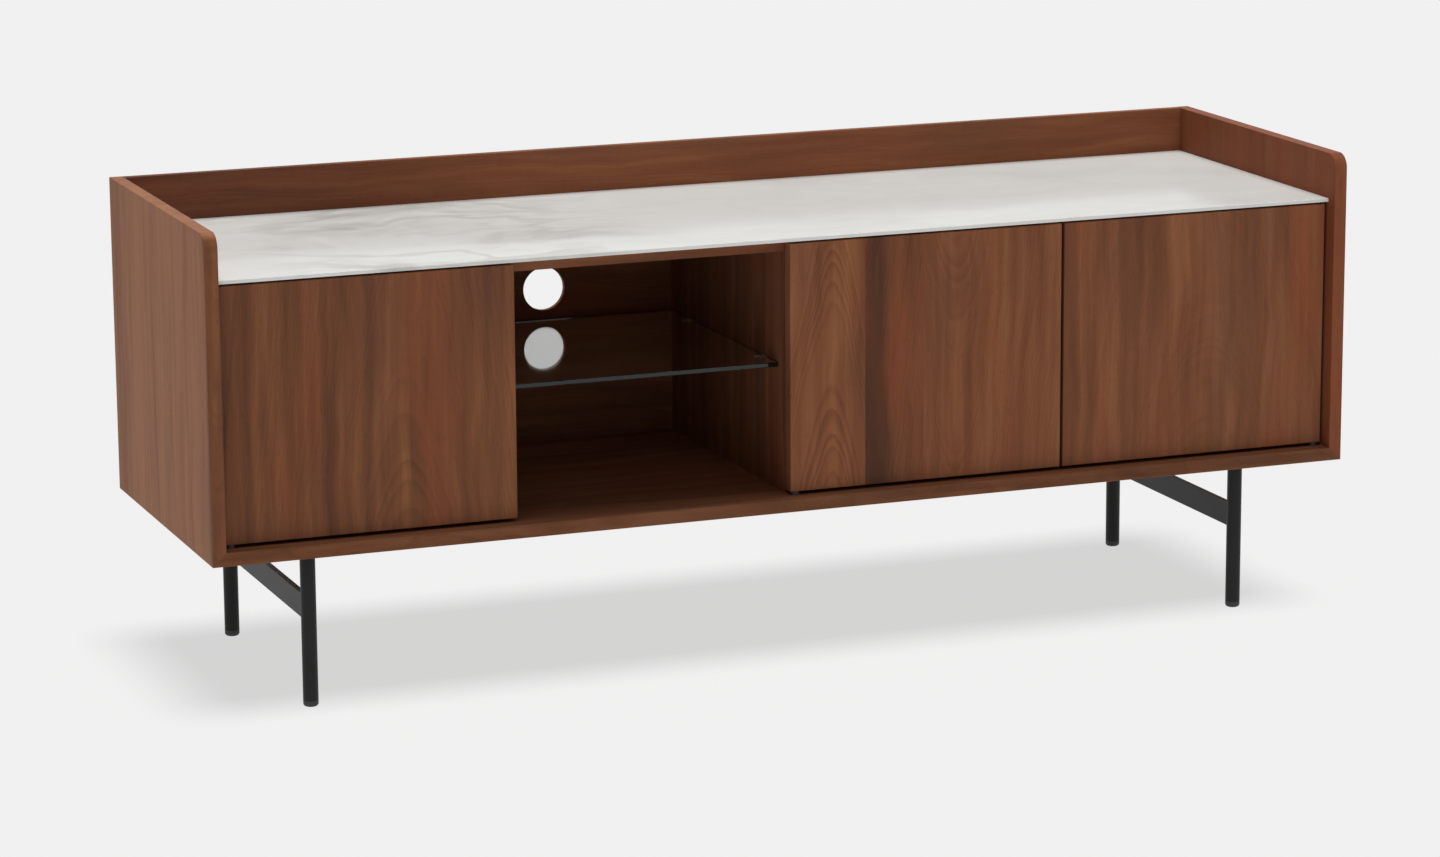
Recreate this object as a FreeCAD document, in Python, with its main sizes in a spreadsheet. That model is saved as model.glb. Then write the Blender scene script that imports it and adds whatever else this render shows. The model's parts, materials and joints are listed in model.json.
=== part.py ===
import FreeCAD, Part
import os
import re
import Sketcher

# Media cabinet: a walnut-veneered box on two steel leg frames, with a stone top inside
# a low gallery, one open bay with a glass shelf, and three doors that open when pushed.
# The row frame has +X to the right, -Y to the front and +Z up. Its origin is on the floor
# below the middle of the cabinet. Every size is in millimetres.

SIZES = {
    # the whole cabinet
    "length": 1600,
    "depth": 480,
    "height": 632,
    "underside": 207,
    # boards
    "board": 18,
    "sub_top_board": 16,
    "gallery_board": 12,
    "back_panel": 8,
    "stone": 5,
    "glass": 6,
    "gallery_rise": 62,
    "corner_radius": 20,
    "edge_round": 1,
    # where boards stand
    "open_bay": 379,
    "door_setback": 20,
    "stone_setback": 17,
    "back_setback": 10,
    "groove_depth": 8,
    "groove_play": 0.5,
    "stone_play": 0.5,
    # doors
    "door_gap": 4,
    "door_foot_gap": 4.5,
    "door_head_gap": 3,
    "door_back_gap": 3,
    "reveal": 0.5,
    "pivot_inset": 8,
    "pivot_from_face": 6.5,
    "pin_radius": 2.5,
    "pin_reach": 13,
    "bush_radius": 4.5,
    "bush_flange_radius": 6,
    "bush_length": 14,
    "running_play": 0.05,
    "lift_play": 0.3,
    "pivot_plate": 2.5,
    "pivot_plate_half_width": 6,
    "pivot_plate_length": 45,
    # shelves
    "shelf_pin_height": 388.5,
    "shelf_pin_front": -115,
    "shelf_pin_rear": 154,
    "shelf_pin_radius": 2.5,
    "shelf_pin_depth": 8,
    "shelf_pin_reach": 9,
    "collar_radius": 4,
    "collar": 0.8,
    "shelf_play": 1,
    "glass_setback": 60,
    "shelf_setback": 55,
    "shelf_back_play": 7,
    # the cable hole in the back of the open bay
    "cable_hole_radius": 30,
    "cable_hole_left": 197,
    "cable_hole_height": 439,
    # leg frames
    "leg_radius": 10,
    "leg_wall": 1.5,
    "leg_inset_side": 137,
    "leg_inset_end": 50,
    "leg_plate_size": 60,
    "leg_plate": 4,
    "leg_screw_offset": 22,
    "brace_base": 113,
    "brace_height": 32,
    "brace_thickness": 8,
    "leg_plate_round": 4,
    "glide_height": 8,
    "glide_round": 4,
    "glide_plug": 16,
    "glide_play": 0.2,
    # fasteners
    "screw_radius": 2,
    "screw_head_radius": 4,
    "screw_head": 2.2,
    "leg_screw_reach": 14,
    "plate_screw_reach": 13,
    "plate_screw_head": 1.7,
    "plate_screw_flat": 0.1,
    "back_screw_radius": 1.75,
    "back_screw_head_radius": 3.5,
    "back_screw_head": 1.6,
    "back_screw_reach": 28,
    "back_screw_edge": 4.75,
    "divider_screw_radius": 2.5,
    "divider_screw_head_radius": 5,
    "divider_screw_head": 5,
    "divider_screw_length": 50,
    "dowel_radius": 4,
    "dowel_low": 20,
    "dowel_high": 10,
    "gallery_dowel_radius": 3,
    "spline_length": 12,
    "spline_thickness": 4,
    "spline_front": 15,
    "spline_rear": 30,
    "cam_radius": 7.5,
    "cam_depth": 12.5,
    "cam_inset": 24,
    "cam_bolt_radius": 3,
    "cam_bolt_reach": 11,
    # push latches and what the doors close on
    "latch_from_divider": 22,
    "latch_from_meeting": 30,
    "latch_height": 14,
    "latch_half_width": 8,
    "latch_length": 75,
    "latch_bore_depth": 70,
    "latch_setback": 2,
    "latch_flange": 2.5,
    "latch_flange_half_width": 16,
    "latch_flange_start": 30,
    "latch_flange_length": 16,
    "latch_screw_offset": 12,
    "latch_screw_reach": 10,
    "plunger_radius": 4,
    "plunger_length": 50,
    "plunger_stroke": 20,
    "tip_radius": 3.5,
    "tip_length": 3,
    "strike": 1,
    "strike_half_width": 9,
    "strike_half_height": 6,
    "contact_play": 0.3,
    "spring_radius": 3,
    "spring_wire_radius": 0.35,
    "spring_length": 19,
    "spring_pitch": 2.4,
    "bumper_radius": 4,
    "bumper": 2.6,
    "bumper_from_meeting": 9.5,
}

# Faces and heights worked out from the sheet
INNER_X = "(length / 2 - board)"
FRONT_Y = "(0 - depth / 2)"
REAR_Y = "(depth / 2)"
BOTTOM_TOP = "(underside + board)"
STONE_BASE = "(height - gallery_rise - stone)"
SUB_TOP_BASE = "(height - gallery_rise - stone - sub_top_board)"
DOOR_FACE_Y = f"({FRONT_Y} + door_setback)"
DOOR_REAR_Y = f"({DOOR_FACE_Y} + board)"
FRAME_FRONT_Y = f"({DOOR_REAR_Y} + door_back_gap)"
BACK_FACE_Y = f"({REAR_Y} - back_setback - back_panel)"
BACK_REAR_Y = f"({REAR_Y} - back_setback)"
PIVOT_Y = f"({DOOR_FACE_Y} + pivot_from_face)"
DOOR_BASE = f"({BOTTOM_TOP} + door_foot_gap)"
DOOR_HEIGHT = f"({STONE_BASE} - {BOTTOM_TOP} - door_foot_gap - door_head_gap)"
SHELF_BASE = "(shelf_pin_height + shelf_pin_radius)"

# The right divider stands in the middle, and the open bay lies to its left
DIVIDER_X = {"left": "(0 - open_bay - board)", "right": "0"}
MEETING_X = f"(({INNER_X} - door_gap + reveal - board / 2) / 2)"

# Each door: where its hinge edge is, how wide it is, and which way it reaches from there
LEFT_DOOR_WIDTH = f"({INNER_X} - door_gap - open_bay - board / 2 - reveal)"
PAIR_DOOR_WIDTH = f"(({INNER_X} + board / 2 - reveal - 2 * door_gap) / 2)"
DOORS = {
    "left": (f"(door_gap - {INNER_X})", LEFT_DOOR_WIDTH, 1),
    "centre": ("(reveal - board / 2)", PAIR_DOOR_WIDTH, 1),
    "right": (f"({INNER_X} - door_gap)", PAIR_DOOR_WIDTH, -1),
}
PIVOT_X = {name: f"({edge} + {reach} * pivot_inset)" for name, (edge, width, reach) in DOORS.items()}
LATCH_X = {
    "left": f"({DIVIDER_X['left']} - board / 2 - latch_from_divider)",
    "centre": f"({MEETING_X} - latch_from_meeting)",
    "right": f"({MEETING_X} + latch_from_meeting)",
}
LATCH_Z = f"({SUB_TOP_BASE} - latch_height / 2)"
LATCH_FRONT_Y = f"({FRAME_FRONT_Y} + latch_setback)"
TIP_FRONT_Y = f"({DOOR_REAR_Y} + strike + contact_play)"

LEG_X = {"left": "(leg_inset_side - length / 2)", "right": "(length / 2 - leg_inset_side)"}
LEG_Y = {"front": f"({FRONT_Y} + leg_inset_end)", "rear": f"({REAR_Y} - leg_inset_end)"}

# Where fasteners stand along the boards
CAM_YS = ("-150", "20", "190")
DIVIDER_SCREW_YS = ("-140", "10", "160")
DIVIDER_DOWEL_YS = ("-110", "130")
BACK_SCREW_ZS = ("260", "385", "515")
GALLERY_DOWEL_XS = ("-700", "-420", "-140", "140", "420", "700")
PLATE_SCREW_BACKS = ("26", "38")

# Normal axis: the origin plane it crosses, and the sign of that plane's own normal
PLANES = {"x": ("YZ_Plane", 1), "y": ("XZ_Plane", -1), "z": ("XY_Plane", 1)}

# Two heights closer than NEAR are the same, and an edge over LONG_EDGE runs along its piece
NEAR = 0.01
LONG_EDGE = 60
COUNTERSINK_TAPER = 45


def formula(text):
    """Turns the bare size names in a formula into references to the sheet."""
    return re.sub(r"\b[a-z_]{2,}\b(?!\()", r"Sizes.\g<0>", text)


def make_sheet(doc):
    sheet = doc.addObject("Spreadsheet::Sheet", "Sizes")
    for row, (alias, value) in enumerate(SIZES.items(), 1):
        sheet.set(f"A{row}", alias)
        sheet.set(f"B{row}", str(value))
        sheet.setAlias(f"B{row}", alias)
    doc.recompute()


def make_body(doc, name, x="0", y="0", z="0"):
    """An empty body whose label names its file and whose placement follows three formulas."""
    body = doc.addObject("PartDesign::Body", name)
    body.Label = name
    body.AllowCompound = True
    for axis, text in zip("xyz", (x, y, z)):
        body.setExpression(f"Placement.Base.{axis}", formula(text))
    return body


def rectangle(left, low, right, high):
    return [(left, low), (right, low), (right, high), (left, high)]


def square(x, y, half):
    return rectangle(f"{x} - {half}", f"{y} - {half}", f"{x} + {half}", f"{y} + {half}")


def pin_point(sketch, curve, end, x, y):
    """Ties a sketch point to two formulas, its distances from the sketch's origin."""
    for kind, text in (("DistanceX", x), ("DistanceY", y)):
        index = sketch.addConstraint(Sketcher.Constraint(kind, -1, 1, curve, end, 1.0))
        sketch.setExpression(f"Constraints[{index}]", formula(text))


def draw_outline(sketch, corners):
    """A closed outline with straight sides, drawn as a regular one and then pulled to its corners."""
    first = sketch.GeometryCount
    count = len(corners)
    turn = FreeCAD.Rotation(FreeCAD.Vector(0, 0, 1), 360.0 / count)
    point = FreeCAD.Vector(10, 0, 0)
    for _ in corners:
        following = turn.multVec(point)
        sketch.addGeometry(Part.LineSegment(point, following))
        point = following
    for i, (x, y) in enumerate(corners):
        after = first + (i + 1) % count
        sketch.addConstraint(Sketcher.Constraint("Coincident", first + i, 2, after, 1))
        pin_point(sketch, first + i, 1, x, y)


def draw_circle(sketch, x, y, radius):
    circle = Part.Circle(FreeCAD.Vector(1, 1, 0), FreeCAD.Vector(0, 0, 1), 1)
    curve = sketch.addGeometry(circle)
    pin_point(sketch, curve, 3, x, y)
    index = sketch.addConstraint(Sketcher.Constraint("Radius", curve, 1.0))
    sketch.setExpression(f"Constraints[{index}]", formula(radius))


def draw_profile(body, axis, place, outlines=(), circles=()):
    """A sketch square to the axis, at the place along it."""
    role, sign = PLANES[axis]
    plane = next(item for item in body.Origin.OriginFeatures if item.Role == role)
    sketch = body.newObject("Sketcher::SketchObject", "Profile")
    sketch.AttachmentSupport = (plane, [""])
    sketch.MapMode = "FlatFace"
    sketch.setExpression("AttachmentOffset.Base.z", formula(f"{sign} * ({place})"))
    for corners in outlines:
        draw_outline(sketch, corners)
    for x, y, radius in circles:
        draw_circle(sketch, x, y, radius)
    return sketch


def extrude(body, axis, start, length, outlines=(), circles=(), cut=False):
    """Pads or cuts the profile, from start and along +axis for the length."""
    sketch = draw_profile(body, axis, start, outlines, circles)
    sign = PLANES[axis][1]
    feature = body.newObject("PartDesign::Pocket" if cut else "PartDesign::Pad", "Step")
    feature.Profile = sketch
    feature.setExpression("Length", formula(length))
    feature.Reversed = sign > 0 if cut else sign < 0
    return feature


def lies_at(edge, axis, value):
    """True if the whole edge lies in the plane where the axis has this value."""
    box = edge.BoundBox
    low, high = getattr(box, axis + "Min"), getattr(box, axis + "Max")
    return abs(low - value) < NEAR and abs(high - value) < NEAR


def round_edges(doc, body, radius, wanted):
    """Rounds those of the body's edges for which wanted(edge, box) is true."""
    doc.recompute()
    base = body.Tip
    box = base.Shape.BoundBox
    names = [f"Edge{i}" for i, edge in enumerate(base.Shape.Edges, 1) if wanted(edge, box)]
    fillet = body.newObject("PartDesign::Fillet", "Round")
    fillet.Base = (base, names)
    fillet.setExpression("Radius", formula(radius))


def spline_section(hand):
    """The square-cut tongue across the mitre between a side and the bottom, turned 45 degrees."""
    x = f"{hand} * (length / 2 - board / 2)"
    z = "underside + board / 2"
    near = "(spline_length - spline_thickness) * sqrt(2) / 4"
    far = "(spline_length + spline_thickness) * sqrt(2) / 4"
    return [
        (f"{x} - {hand} * {far}", f"{z} - {near}"),
        (f"{x} - {hand} * {near}", f"{z} - {far}"),
        (f"{x} + {hand} * {far}", f"{z} + {near}"),
        (f"{x} + {hand} * {near}", f"{z} + {far}"),
    ]


def extrude_spline(body, hands, cut):
    extrude(body, "y", f"{FRONT_Y} + spline_front", "depth - spline_front - spline_rear",
            outlines=[spline_section(hand) for hand in hands], cut=cut)


def cut_shelf_pin_holes(body, wall_x, way):
    """The two pin holes of one wall of a bay: way is +1 or -1, towards the bay."""
    start = wall_x if way < 0 else f"{wall_x} - shelf_pin_depth"
    extrude(body, "x", start, "shelf_pin_depth",
            circles=[(y, "shelf_pin_height", "shelf_pin_radius")
                     for y in ("shelf_pin_front", "shelf_pin_rear")], cut=True)


def make_side_panel(doc, side, hand):
    """A side: mitred at its foot, with one round corner at the top of its front edge."""
    outer = f"({hand} * length / 2)"
    inner = f"({hand} * {INNER_X})"
    body = make_body(doc, f"side_panel_{side}")
    profile = [(outer, "underside"), (inner, BOTTOM_TOP), (inner, "height"), (outer, "height")]
    extrude(body, "y", FRONT_Y, "depth", outlines=[profile])
    round_edges(doc, body, "corner_radius",
                lambda edge, box: lies_at(edge, "Y", box.YMin) and lies_at(edge, "Z", box.ZMax))
    mitre_top = SIZES["underside"] + SIZES["board"]
    round_edges(doc, body, "edge_round",
                lambda edge, box: (lies_at(edge, "X", box.XMin) or lies_at(edge, "X", box.XMax))
                and edge.BoundBox.ZMax > mitre_top + 1 and edge.BoundBox.YMin < box.YMax - 1)
    groove_start = inner if hand > 0 else f"{inner} - groove_depth"
    extrude(body, "x", groove_start, "groove_depth",
            outlines=[rectangle(BACK_FACE_Y, f"{BOTTOM_TOP} - groove_depth",
                                BACK_REAR_Y, f"{SUB_TOP_BASE} + groove_depth")], cut=True)
    cut_shelf_pin_holes(body, inner, -hand)
    bolt_start = inner if hand > 0 else f"{inner} - cam_bolt_reach"
    extrude(body, "x", bolt_start, "cam_bolt_reach", cut=True,
            circles=[(y, f"{SUB_TOP_BASE} + sub_top_board / 2", "cam_bolt_radius") for y in CAM_YS])
    extrude_spline(body, [hand], cut=True)
    return body


def leg_screw_places():
    signs = [(a, b) for a in (-1, 1) for b in (-1, 1)]
    return [(f"{x} + {a} * leg_screw_offset", f"{y} + {b} * leg_screw_offset")
            for x in LEG_X.values() for y in LEG_Y.values() for a, b in signs]


def pivot_plate_profile():
    """Strips that run back from each pivot, and the round ends around the pivots."""
    strips = [rectangle(f"{x} - pivot_plate_half_width", PIVOT_Y,
                        f"{x} + pivot_plate_half_width", f"{PIVOT_Y} + pivot_plate_length")
              for x in PIVOT_X.values()]
    ends = [(x, PIVOT_Y, "pivot_plate_half_width") for x in PIVOT_X.values()]
    return strips, ends


def plate_screw_places():
    return [(x, f"{PIVOT_Y} + {back}") for x in PIVOT_X.values() for back in PLATE_SCREW_BACKS]


def extrude_pivot_plates(body, start, cut):
    strips, ends = pivot_plate_profile()
    extrude(body, "z", start, "pivot_plate", outlines=strips, cut=cut)
    extrude(body, "z", start, "pivot_plate", circles=ends, cut=cut)


def make_bottom_panel(doc):
    """The bottom: mitred at both ends, grooved for the backs, drilled for legs and dividers."""
    body = make_body(doc, "bottom_panel")
    low = [("0 - length / 2", "underside"), ("length / 2", "underside")]
    top = [(INNER_X, BOTTOM_TOP), (f"0 - {INNER_X}", BOTTOM_TOP)]
    extrude(body, "y", FRONT_Y, "depth", outlines=[low + top])
    round_edges(doc, body, "edge_round",
                lambda edge, box: lies_at(edge, "Y", box.YMin) and edge.Length > LONG_EDGE)
    groove_end = f"({INNER_X} + groove_depth)"
    extrude(body, "z", f"{BOTTOM_TOP} - groove_depth", "groove_depth", cut=True,
            outlines=[rectangle(f"0 - {groove_end}", BACK_FACE_Y, groove_end, BACK_REAR_Y)])
    extrude(body, "z", "underside", "divider_screw_head", cut=True,
            circles=[(x, y, "divider_screw_head_radius")
                     for x in DIVIDER_X.values() for y in DIVIDER_SCREW_YS])
    extrude(body, "z", "underside", "board", cut=True,
            circles=[(x, y, "divider_screw_radius")
                     for x in DIVIDER_X.values() for y in DIVIDER_SCREW_YS])
    extrude(body, "z", "underside", "leg_screw_reach", cut=True,
            circles=[(x, y, "screw_radius") for x, y in leg_screw_places()])
    extrude_pivot_plates(body, f"{BOTTOM_TOP} - pivot_plate", cut=True)
    extrude(body, "z", f"{BOTTOM_TOP} - plate_screw_reach", "plate_screw_reach", cut=True,
            circles=[(x, y, "screw_radius") for x, y in plate_screw_places()])
    extrude_spline(body, (-1, 1), cut=True)
    return body


def cam_places():
    return [(f"{hand} * ({INNER_X} - cam_inset)", y) for hand in (-1, 1) for y in CAM_YS]


def make_sub_top(doc):
    """The board under the stone: held to the sides by cams, and to the dividers by dowels."""
    body = make_body(doc, "sub_top_panel")
    extrude(body, "z", SUB_TOP_BASE, "sub_top_board",
            outlines=[rectangle(f"0 - {INNER_X}", FRAME_FRONT_Y, INNER_X, REAR_Y)])
    extrude(body, "z", SUB_TOP_BASE, "groove_depth", cut=True,
            outlines=[rectangle(f"0 - {INNER_X}", BACK_FACE_Y, INNER_X, BACK_REAR_Y)])
    extrude(body, "z", SUB_TOP_BASE, "cam_depth", cut=True,
            circles=[(x, y, "cam_radius") for x, y in cam_places()])
    for start in (f"0 - {INNER_X}", f"{INNER_X} - cam_inset"):
        extrude(body, "x", start, "cam_inset", cut=True,
                circles=[(y, f"{SUB_TOP_BASE} + sub_top_board / 2", "cam_bolt_radius") for y in CAM_YS])
    extrude(body, "z", SUB_TOP_BASE, "dowel_high", cut=True,
            circles=[(x, y, "dowel_radius") for x in DIVIDER_X.values() for y in DIVIDER_DOWEL_YS])
    extrude(body, "z", f"{STONE_BASE} - dowel_high", "dowel_high", cut=True,
            circles=gallery_dowel_circles())
    extrude_pivot_plates(body, f"{STONE_BASE} - pivot_plate", cut=True)
    extrude(body, "z", f"{STONE_BASE} - plate_screw_reach", "plate_screw_reach", cut=True,
            circles=[(x, y, "screw_radius") for x, y in plate_screw_places()])
    extrude(body, "z", SUB_TOP_BASE, "latch_screw_reach", cut=True,
            circles=[(x, y, "back_screw_radius") for x, y in latch_screw_places()])
    return body


def gallery_dowel_circles():
    y = f"{REAR_Y} - gallery_board / 2"
    return [(x, y, "gallery_dowel_radius") for x in GALLERY_DOWEL_XS]


def make_gallery(doc):
    body = make_body(doc, "gallery_board")
    extrude(body, "z", STONE_BASE, "gallery_rise + stone",
            outlines=[rectangle(f"0 - {INNER_X}", f"{REAR_Y} - gallery_board", INNER_X, REAR_Y)])
    round_edges(doc, body, "edge_round",
                lambda edge, box: lies_at(edge, "Z", box.ZMax) and edge.Length > LONG_EDGE)
    extrude(body, "z", STONE_BASE, "dowel_low", circles=gallery_dowel_circles(), cut=True)
    return body


def make_stone_top(doc):
    """The slab lies between the sides and stops just over the doors."""
    body = make_body(doc, "stone_top")
    edge_x = f"({INNER_X} - stone_play)"
    extrude(body, "z", STONE_BASE, "stone",
            outlines=[rectangle(f"0 - {edge_x}", f"{FRONT_Y} + stone_setback",
                                edge_x, f"{REAR_Y} - gallery_board - stone_play")])
    round_edges(doc, body, "edge_round",
                lambda edge, box: lies_at(edge, "Y", box.YMin) and edge.Length > LONG_EDGE)
    return body


def make_divider(doc, side):
    x = DIVIDER_X[side]
    body = make_body(doc, f"divider_{side}")
    extrude(body, "z", BOTTOM_TOP, f"{SUB_TOP_BASE} - {BOTTOM_TOP}",
            outlines=[rectangle(f"{x} - board / 2", FRAME_FRONT_Y, f"{x} + board / 2", BACK_FACE_Y)])
    cut_shelf_pin_holes(body, f"{x} - board / 2", -1)
    cut_shelf_pin_holes(body, f"{x} + board / 2", 1)
    extrude(body, "z", BOTTOM_TOP, "divider_screw_length - board", cut=True,
            circles=[(x, y, "divider_screw_radius") for y in DIVIDER_SCREW_YS])
    extrude(body, "z", f"{SUB_TOP_BASE} - dowel_low", "dowel_low", cut=True,
            circles=[(x, y, "dowel_radius") for y in DIVIDER_DOWEL_YS])
    extrude(body, "y", f"{BACK_REAR_Y} - back_screw_reach", "back_screw_reach", cut=True,
            circles=[(f"{x} + {hand} * back_screw_edge", z, "back_screw_radius")
                     for hand in (-1, 1) for z in BACK_SCREW_ZS])
    return body


def make_back_panel(doc, name, left, right, seams, holes=()):
    """One of the three backs, held in grooves, and screwed to the dividers at its seams."""
    body = make_body(doc, f"back_panel_{name}")
    extrude(body, "y", BACK_FACE_Y, "back_panel",
            outlines=[rectangle(left, f"{BOTTOM_TOP} - groove_depth + groove_play",
                                right, f"{SUB_TOP_BASE} + groove_depth - groove_play")],
            circles=holes)
    extrude(body, "y", BACK_FACE_Y, "back_panel", cut=True,
            circles=[(x, z, "back_screw_radius") for x in seams for z in BACK_SCREW_ZS])
    return body


def make_back_panels(doc):
    end_x = f"({INNER_X} + groove_depth - groove_play)"
    left_x, right_x = DIVIDER_X["left"], DIVIDER_X["right"]
    hole = ("0 - cable_hole_left", "cable_hole_height", "cable_hole_radius")
    return [
        make_back_panel(doc, "left", f"0 - {end_x}", f"{left_x} - groove_play / 2",
                        [f"{left_x} - back_screw_edge"]),
        make_back_panel(doc, "centre", f"{left_x} + groove_play / 2", f"{right_x} - groove_play / 2",
                        [f"{left_x} + back_screw_edge", f"{right_x} - back_screw_edge"], [hole]),
        make_back_panel(doc, "right", f"{right_x} + groove_play / 2", end_x,
                        [f"{right_x} + back_screw_edge"]),
    ]


# Each bay: its left wall and its right wall
BAYS = {
    "left": (f"(0 - {INNER_X})", f"({DIVIDER_X['left']} - board / 2)"),
    "open": (f"({DIVIDER_X['left']} + board / 2)", "(0 - board / 2)"),
    "right": ("(board / 2)", INNER_X),
}


def make_shelf(doc, name, bay, setback, thickness):
    left, right = BAYS[bay]
    body = make_body(doc, name)
    extrude(body, "z", SHELF_BASE, thickness,
            outlines=[rectangle(f"{left} + shelf_play", f"{FRONT_Y} + {setback}",
                                f"{right} - shelf_play", f"{BACK_FACE_Y} - shelf_back_play")])
    round_edges(doc, body, "edge_round",
                lambda edge, box: lies_at(edge, "Y", box.YMin) and edge.Length > LONG_EDGE)
    return body


def make_shelf_pins(doc, name, bay):
    """Four collared pins in the two walls of a bay."""
    left, right = BAYS[bay]
    body = make_body(doc, name)
    places = ("shelf_pin_front", "shelf_pin_rear")
    pins = [(y, "shelf_pin_height", "shelf_pin_radius") for y in places]
    collars = [(y, "shelf_pin_height", "collar_radius") for y in places]
    pin_length = "shelf_pin_depth + shelf_pin_reach"
    extrude(body, "x", f"{left} - shelf_pin_depth", pin_length, circles=pins)
    extrude(body, "x", left, "collar", circles=collars)
    extrude(body, "x", f"{right} - shelf_pin_reach", pin_length, circles=pins)
    extrude(body, "x", f"{right} - collar", "collar", circles=collars)
    return body


def make_mitre_spline(doc, side, hand):
    body = make_body(doc, f"mitre_spline_{side}")
    extrude_spline(body, [hand], cut=False)
    return body


def make_divider_screws(doc):
    body = make_body(doc, "divider_screws")
    places = [(x, y) for x in DIVIDER_X.values() for y in DIVIDER_SCREW_YS]
    extrude(body, "z", "underside", "divider_screw_head",
            circles=[(x, y, "divider_screw_head_radius") for x, y in places])
    extrude(body, "z", "underside", "divider_screw_length",
            circles=[(x, y, "divider_screw_radius") for x, y in places])
    return body


def make_divider_dowels(doc):
    body = make_body(doc, "divider_dowels")
    extrude(body, "z", f"{SUB_TOP_BASE} - dowel_low", "dowel_low + dowel_high",
            circles=[(x, y, "dowel_radius") for x in DIVIDER_X.values() for y in DIVIDER_DOWEL_YS])
    return body


def make_gallery_dowels(doc):
    body = make_body(doc, "gallery_dowels")
    extrude(body, "z", f"{STONE_BASE} - dowel_high", "dowel_low + dowel_high",
            circles=gallery_dowel_circles())
    return body


def make_cams(doc):
    body = make_body(doc, "cam_discs")
    extrude(body, "z", SUB_TOP_BASE, "cam_depth", circles=[(x, y, "cam_radius") for x, y in cam_places()])
    return body


def make_cam_bolts(doc):
    """Bolts that run from the sides to the rims of the cams."""
    body = make_body(doc, "cam_bolts")
    length = "cam_bolt_reach + cam_inset - cam_radius"
    circles = [(y, f"{SUB_TOP_BASE} + sub_top_board / 2", "cam_bolt_radius") for y in CAM_YS]
    for start in (f"0 - {INNER_X} - cam_bolt_reach", f"{INNER_X} - cam_inset + cam_radius"):
        extrude(body, "x", start, length, circles=circles)
    extrude(body, "z", SUB_TOP_BASE, "cam_depth", cut=True,
            circles=[(x, y, "cam_radius") for x, y in cam_places()])
    return body


def make_back_screws(doc):
    body = make_body(doc, "back_panel_screws")
    places = [(f"{x} + {hand} * back_screw_edge", z)
              for x in DIVIDER_X.values() for hand in (-1, 1) for z in BACK_SCREW_ZS]
    extrude(body, "y", f"{BACK_REAR_Y} - back_screw_reach", "back_screw_reach",
            circles=[(x, z, "back_screw_radius") for x, z in places])
    extrude(body, "y", BACK_REAR_Y, "back_screw_head",
            circles=[(x, z, "back_screw_head_radius") for x, z in places])
    return body


def make_leg(doc, end, side):
    """A round tube from its glide up to its plate."""
    body = make_body(doc, f"leg_{end}_{side}", LEG_X[side], LEG_Y[end], "glide_height")
    extrude(body, "z", "0", "underside - leg_plate - glide_height",
            circles=[("0", "0", "leg_radius"), ("0", "0", "leg_radius - leg_wall")])
    return body


def make_brace(doc, side):
    """A flat bar on edge between a front leg and a rear leg, its ends scooped to the tubes."""
    body = make_body(doc, f"leg_brace_{side}", LEG_X[side], "0", "brace_base")
    extrude(body, "z", "0", "brace_height",
            outlines=[rectangle("0 - brace_thickness / 2", LEG_Y["front"],
                                "brace_thickness / 2", LEG_Y["rear"])])
    extrude(body, "z", "0", "brace_height", cut=True,
            circles=[("0", y, "leg_radius") for y in LEG_Y.values()])
    return body


def make_leg_plates(doc):
    body = make_body(doc, "leg_plates", "0", "0", "underside - leg_plate")
    extrude(body, "z", "0", "leg_plate",
            outlines=[square(x, y, "leg_plate_size / 2") for x in LEG_X.values() for y in LEG_Y.values()])
    round_edges(doc, body, "leg_plate_round",
                lambda edge, box: edge.BoundBox.ZLength > box.ZLength - NEAR)
    extrude(body, "z", "0", "leg_plate", cut=True,
            circles=[(x, y, "screw_radius") for x, y in leg_screw_places()])
    return body


def make_leg_screws(doc):
    body = make_body(doc, "leg_plate_screws", "0", "0", "underside - leg_plate")
    extrude(body, "z", "0", "leg_plate + leg_screw_reach",
            circles=[(x, y, "screw_radius") for x, y in leg_screw_places()])
    extrude(body, "z", "0 - screw_head", "screw_head",
            circles=[(x, y, "screw_head_radius") for x, y in leg_screw_places()])
    round_edges(doc, body, "edge_round", lambda edge, box: lies_at(edge, "Z", box.ZMin))
    return body


def make_glides(doc):
    """Nylon feet: a rounded pad under each tube and a plug inside it."""
    body = make_body(doc, "foot_glides")
    places = [(x, y) for x in LEG_X.values() for y in LEG_Y.values()]
    extrude(body, "z", "0", "glide_height", circles=[(x, y, "leg_radius") for x, y in places])
    round_edges(doc, body, "glide_round", lambda edge, box: lies_at(edge, "Z", box.ZMin))
    extrude(body, "z", "glide_height", "glide_plug",
            circles=[(x, y, "leg_radius - leg_wall - glide_play") for x, y in places])
    return body


def countersink(body, face_z, cut):
    """Cone heads, or the seats for them, with the wide end at the face."""
    feature = extrude(body, "z", f"{face_z} - plate_screw_head", "plate_screw_head", cut=cut,
                      circles=[(x, y, "screw_radius") for x, y in plate_screw_places()])
    feature.TaperAngle = COUNTERSINK_TAPER


def make_pivot_plates(doc, level, face_z):
    """The three hinge plates of one level, each let in flush with the board that holds it."""
    body = make_body(doc, f"pivot_plates_{level}")
    extrude_pivot_plates(body, f"{face_z} - pivot_plate", cut=False)
    extrude(body, "z", f"{face_z} - pivot_plate", "pivot_plate", cut=True,
            circles=[(x, PIVOT_Y, "pin_radius") for x in PIVOT_X.values()])
    extrude(body, "z", f"{face_z} - pivot_plate", "pivot_plate", cut=True,
            circles=[(x, y, "screw_radius") for x, y in plate_screw_places()])
    countersink(body, face_z, cut=True)
    return body


def make_plate_screws(doc):
    body = make_body(doc, "pivot_plate_screws")
    for face_z in (BOTTOM_TOP, STONE_BASE):
        extrude(body, "z", f"{face_z} - plate_screw_reach", "plate_screw_reach",
                circles=[(x, y, "screw_radius") for x, y in plate_screw_places()])
        countersink(body, face_z, cut=False)
    return body


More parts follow.
